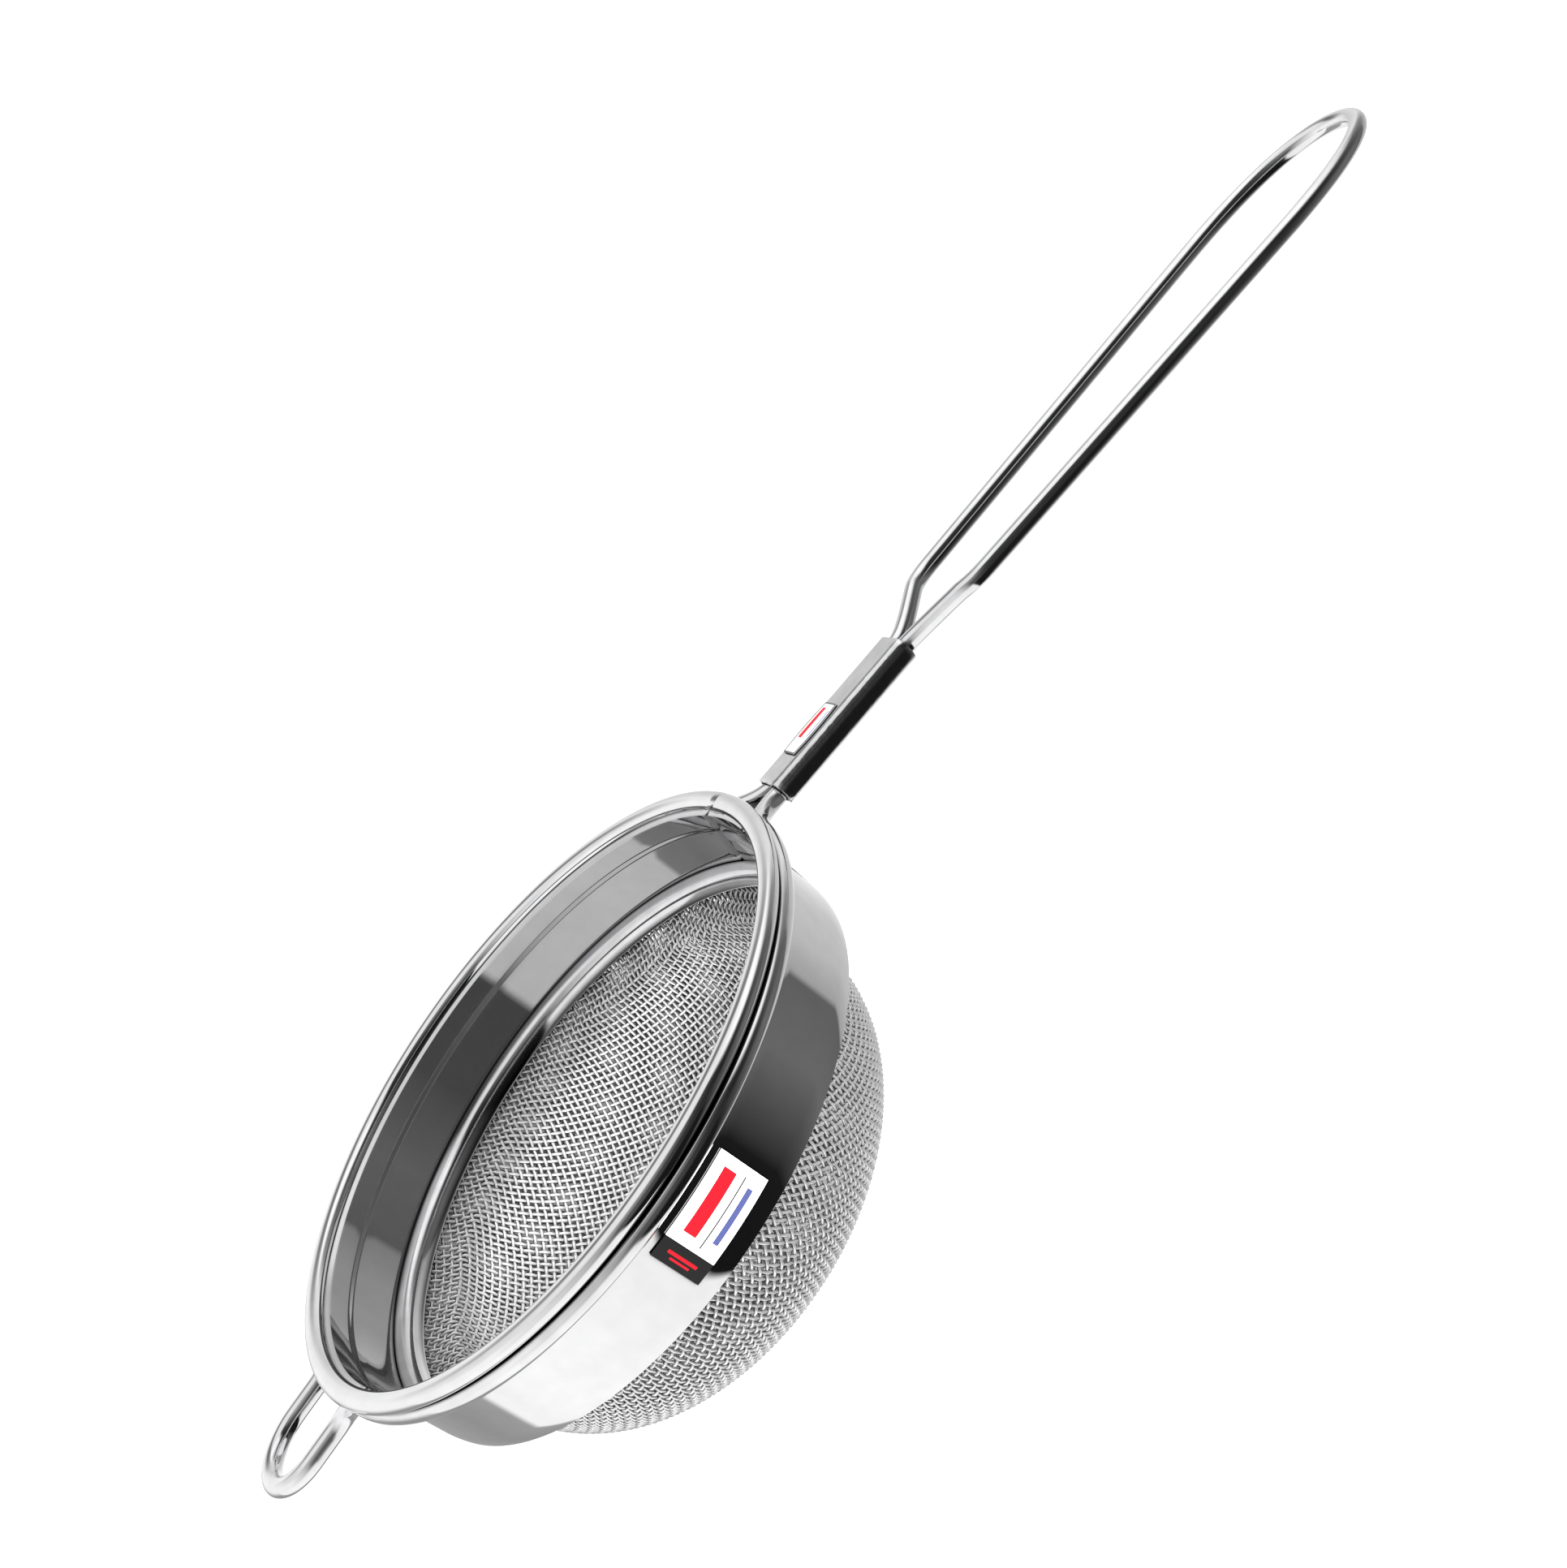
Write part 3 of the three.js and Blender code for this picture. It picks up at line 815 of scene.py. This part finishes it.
def ring_steel():
    # Painted shade: dark in its crevices, and dark on its underside below the crown.
    return steel(
        "pressed_ring_steel", dark=(0.70, 0.70, 0.71), light=(0.80, 0.80, 0.81), rough=(0.06, 0.14),
        streak=(0.05, 0.05, 6.0), streak_depth=0.0006, wave_scale=0.4, wave_depth=0.01,
        reach=1.2, closed=0.45,
        painted_shade=PaintedShade(edge=RIM_Z + RING_SHADE_TOP_Z, fade=0.5, share=0.10, metallic=1.0))


def wire_steel():
    return steel(
        "polished_wire_steel", dark=(0.80, 0.80, 0.81), light=(0.88, 0.88, 0.89), rough=(0.05, 0.12),
        streak=(5.0, 5.0, 0.08), streak_depth=0.0012, wave_scale=0.25, wave_depth=0.006,
        reach=0.9, closed=0.4)


def sleeve_steel():
    return steel(
        "pressed_sleeve_steel", dark=(0.74, 0.74, 0.75), light=(0.84, 0.84, 0.85), rough=(0.08, 0.16),
        streak=(0.3, 5.0, 5.0), streak_depth=0.002, wave_scale=0.9, wave_depth=0.035)


def cloth_steel(name, dark, light, closed, clear, metallic, painted_shade=None):
    """Steel of the thin wires, whose relief is the weave itself."""
    # Painted shade between crossing wires and wherever other surfaces lie close.
    return steel(
        name, dark, light, rough=(0.18, 0.32),
        streak=(2.0, 2.0, 2.0), streak_depth=0.0, wave_scale=0.5, wave_depth=0.0,
        reach=1.2, closed=closed, clear=clear, metallic=metallic, painted_shade=painted_shade)


def outer_cloth_steel():
    # Painted shade: a darker copy of the same steel as the inner cloth.
    return cloth_steel(
        "outer_cloth_steel", dark=grey(0.76), light=grey(0.90), closed=0.34, clear=0.88, metallic=0.84)


def inner_cloth_steel():
    """A paler copy of the outer cloth's steel, as painted light, with painted shade from the clamp ring
    over its upper part.
    """
    return cloth_steel(
        "inner_cloth_steel", dark=grey(0.92), light=WHITE, closed=0.32, clear=0.78, metallic=0.68,
        painted_shade=PaintedShade(edge=4.0, fade=4.5, share=0.30, metallic=0.9))


def label_print(name, red, blue, end_strip):
    """White sticker stock with two plain bars and a rule, and either a dark end strip or an outline."""
    nodes = Surface(name)
    nodes.set("Roughness", 0.42)
    nodes.set("Specular IOR Level", 0.2)
    along, across, _ = nodes.split(nodes.grain())

    def band(value, low, high):
        above = nodes.calculate("GREATER_THAN", value, low)
        below = nodes.calculate("LESS_THAN", value, high)
        return nodes.calculate("MULTIPLY", above, below)

    def inside(mark):
        """1 inside the mark and 0 outside it."""
        length = band(along, mark.start, mark.end)
        width = band(across, mark.low, mark.high)
        return nodes.calculate("MULTIPLY", length, width)

    fibre = nodes.noise(nodes.grain(PAPER_GRAIN), scale=3, detail=3)
    colour = nodes.mottle(fibre, PAPER_DARK, PAPER_LIGHT)
    marks = [(THICK_BAR, red), (RULE, RULE_INK), (THIN_BAR, blue)]
    if end_strip:
        marks.append((END_STRIP, STRIP_INK))
        marks += [(bar, red) for bar in END_STRIP_BARS]
    for mark, ink in marks:
        colour = nodes.mix(inside(mark), colour, opaque(ink))
    if not end_strip:
        outline = nodes.calculate("SUBTRACT", 1.0, inside(INSIDE_OUTLINE))
        colour = nodes.mix(outline, colour, opaque(OUTLINE_INK))
    nodes.set("Base Color", colour)
    nodes.set("Normal", nodes.bump(fibre, depth_mm=0.01, strength=0.3))
    return nodes.material


# ---- Studio --------------------------------------------------------------------------------------
FLOOR_HALF = 4000.0
FLOOR_DARK = grey(0.95)
FLOOR_LIGHT = grey(0.97)

KEY_POWER = 9.8
KEY_SPREAD = 15.0           # degrees, as are its two angles
KEY_ELEVATION = 28.0
KEY_AZIMUTH = 12.0

FILL = 0.15                 # light of the plain surroundings on unpolished surfaces
VIEW_WHITE = 1.05           # brightness of the background that the camera sees
PANEL_GAIN = 1.17           # steel takes some of the light, so the panels are this much brighter
OVERHEAD = 0.90             # the ceiling's shade of grey

# The grey that polished steel shows towards each azimuth: 0 is the front, 90 the handle's side.
# Low down, a white panel stands at the left, a black one in front and pale walls at the right and
# behind. Higher up, the darkest part lies further to the right.
PANELS_LOW = (
    (-180, 0.94), (-170, 0.94), (-160, 0.62), (-125, 0.56), (-107, 0.60), (-104, 0.95), (-80, 0.98),
    (-19, 0.93), (-16, 0.08), (24, 0.10), (29, 0.20), (45, 0.32), (60, 0.40), (90, 0.37), (93, 0.62),
    (110, 0.72), (135, 0.76), (160, 0.88), (180, 0.94),
)
PANELS_MIDDLE = (
    (-180, 0.90), (-150, 0.95), (-75, 0.95), (-45, 0.82), (-30, 0.68), (-18, 0.34), (0, 0.28),
    (15, 0.20), (38, 0.14), (52, 0.20), (66, 0.28), (84, 0.36), (108, 0.55), (124, 0.88),
    (160, 0.78), (180, 0.88),
)
PANELS_HIGH = (
    (-180, 0.45), (-165, 0.42), (-150, 0.60), (-130, 0.85), (-75, 0.88), (-50, 0.76), (-20, 0.55),
    (0, 0.48), (25, 0.25), (42, 0.22), (54, 0.80), (65, 1.00), (130, 1.00), (142, 0.62),
    (165, 0.42), (180, 0.45),
)

# Elevations in degrees over which each set of panels gives way to the next.
LOW_TO_MIDDLE = (-20, 10)
MIDDLE_TO_HIGH = (25, 50)
HIGH_TO_CEILING = (55, 75)


def build_floor():
    half = FLOOR_HALF
    corners = np.array([[-half, -half, 0], [half, -half, 0], [half, half, 0], [-half, half, 0]])
    floor = mesh_object("floor", corners, [[0, 1, 2, 3]])
    nodes = Surface("pale_floor")
    tone = nodes.noise(nodes.add("TexCoord").outputs["Object"], scale=3.0, detail=2)
    nodes.set("Base Color", nodes.ramp(tone, ((0.0, FLOOR_DARK), (1.0, FLOOR_LIGHT))))
    nodes.set("Roughness", 0.9)
    nodes.set("Specular IOR Level", 0.0)
    floor.data.materials.append(nodes.material)
    floor.visible_glossy = False


def build_key_light():
    """A large soft lamp beside the camera. Its shadows fall behind the strainer."""
    data = bpy.data.lights.new("key_light", "SUN")
    data.energy = KEY_POWER
    data.angle = math.radians(KEY_SPREAD)
    lamp = bpy.data.objects.new("key_light", data)
    lamp.rotation_euler = (math.radians(90 - KEY_ELEVATION), 0, math.radians(KEY_AZIMUTH))
    lamp.visible_glossy = False
    bpy.context.scene.collection.objects.link(lamp)


def panel_grey(shade):
    """The light of a panel that steel shows as this shade of a screen's grey."""
    offset = 0.055          # both of the standard curve from a screen's shade to its light
    power = 2.4
    return grey(((shade + offset) / (1 + offset)) ** power * PANEL_GAIN)


def build_world():
    """Polished steel sees the studio's panels. Plain surfaces and the view get its even white light."""
    world = bpy.data.worlds.new("studio")
    bpy.context.scene.world = world
    world.use_nodes = True
    world.cycles.sampling_method = "NONE"
    nodes = Nodes(world.node_tree)
    x, y, z = nodes.split(nodes.add("TexCoord").outputs["Generated"])
    azimuth = nodes.calculate("ARCTAN2", x, nodes.calculate("MULTIPLY", y, -1))
    share_of_turn = nodes.calculate("MULTIPLY_ADD", azimuth, 1 / (2 * math.pi), 0.5)

    def panels(stops):
        return nodes.ramp(
            share_of_turn, [((degrees + 180) / 360, panel_grey(shade)) for degrees, shade in stops])

    def above(elevations):
        low, high = (math.sin(math.radians(degrees)) for degrees in elevations)
        return nodes.rise(z, low, high, interpolation="SMOOTHSTEP")

    seen = nodes.mix(above(LOW_TO_MIDDLE), panels(PANELS_LOW), panels(PANELS_MIDDLE))
    seen = nodes.mix(above(MIDDLE_TO_HIGH), seen, panels(PANELS_HIGH))
    seen = nodes.mix(above(HIGH_TO_CEILING), seen, opaque(panel_grey(OVERHEAD)))
    paths = nodes.add("LightPath")
    seen = nodes.mix(paths.outputs["Is Diffuse Ray"], seen, opaque(grey(FILL)))
    seen = nodes.mix(paths.outputs["Is Camera Ray"], seen, opaque(grey(VIEW_WHITE)))
    nodes.feed(nodes.tree.nodes["Background"].inputs["Color"], seen)


# ---- Camera --------------------------------------------------------------------------------------
CAMERA_AZIMUTH = -8.95      # degrees, as are the next two
CAMERA_ELEVATION = 23.73
CAMERA_ROLL = -50.63
CAMERA_AWAY = 241.63        # from the rim's centre
CAMERA_RIGHT = 34.63        # across its own view
CAMERA_UP = 40.33
CAMERA_LENS = 40.37
CAMERA_SENSOR = 36.0
CAMERA_NEAREST = 5.0


def build_camera():
    """The camera looks past the rim's centre, rolled over so that the handle runs to the upper right."""
    azimuth = math.radians(CAMERA_AZIMUTH)
    elevation = math.radians(CAMERA_ELEVATION)
    roll = math.radians(CAMERA_ROLL)
    back = Vector((
        math.sin(azimuth) * math.cos(elevation),
        -math.cos(azimuth) * math.cos(elevation),
        math.sin(elevation),
    ))
    level = (-back).cross(Vector((0, 0, 1))).normalized()
    above = level.cross(-back)
    right = level * math.cos(roll) + above * math.sin(roll)
    up = above * math.cos(roll) - level * math.sin(roll)
    data = bpy.data.cameras.new("camera")
    data.lens = CAMERA_LENS
    data.sensor_width = CAMERA_SENSOR
    data.clip_start = CAMERA_NEAREST * MM
    camera = bpy.data.objects.new("camera", data)
    turn = Matrix((right, up, back)).transposed().to_4x4()
    rim_centre = Vector((0, 0, RIM_Z * MM))
    aside = right * (CAMERA_RIGHT * MM) + up * (CAMERA_UP * MM)
    camera.matrix_world = Matrix.Translation(rim_centre + back * (CAMERA_AWAY * MM) + aside) @ turn
    bpy.context.scene.collection.objects.link(camera)
    bpy.context.scene.camera = camera


# ---- Assembly ------------------------------------------------------------------------------------
def place(piece, material, slot, *nodes):
    """The piece, in its material, on the one body, in place of these CAD nodes."""
    piece.data.materials.append(material)
    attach(piece, "root")
    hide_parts(*nodes)


wire = wire_steel()
place(build_collar(), collar_steel(), "polished_sheet", "collar_band")
place(build_hoop(), wire, "polished_wire", "hoop_wire")
place(build_handle(), wire, "polished_wire", "handle_wire")
place(build_sleeve(), sleeve_steel(), "sleeve_steel", "handle_sleeve")
place(build_ring(), ring_steel(), "polished_sheet", "mesh_clamp_ring")
cloths = (
    ("outer", OUTER_CLOTH, OUTER_PITCH, OUTER_TURN, outer_cloth_steel()),
    ("inner", INNER_CLOTH, INNER_PITCH, INNER_TURN, inner_cloth_steel()),
)
for layer, depth_inside, pitch, turn, cloth in cloths:
    for run, across in (("warp", False), ("weft", True)):
        wires = build_cloth(f"{layer}_cloth_{run}", depth_inside, pitch, turn, across)
        wires.visible_glossy = False
        place(wires, cloth, "woven_mesh", f"{layer}_mesh_bowl")
collar_print = label_print(
    "collar_label_print", red=(0.30, 0.004, 0.01), blue=(0.05, 0.06, 0.16), end_strip=True)
sleeve_print = label_print(
    "sleeve_label_print", red=(0.55, 0.02, 0.03), blue=(0.30, 0.32, 0.50), end_strip=False)
place(build_collar_label(), collar_print, "blank_label", "collar_label")
place(build_sleeve_label(), sleeve_print, "blank_label", "sleeve_label")

build_floor()
build_key_light()
build_world()
build_camera()
bpy.context.scene.view_settings.view_transform = "Standard"
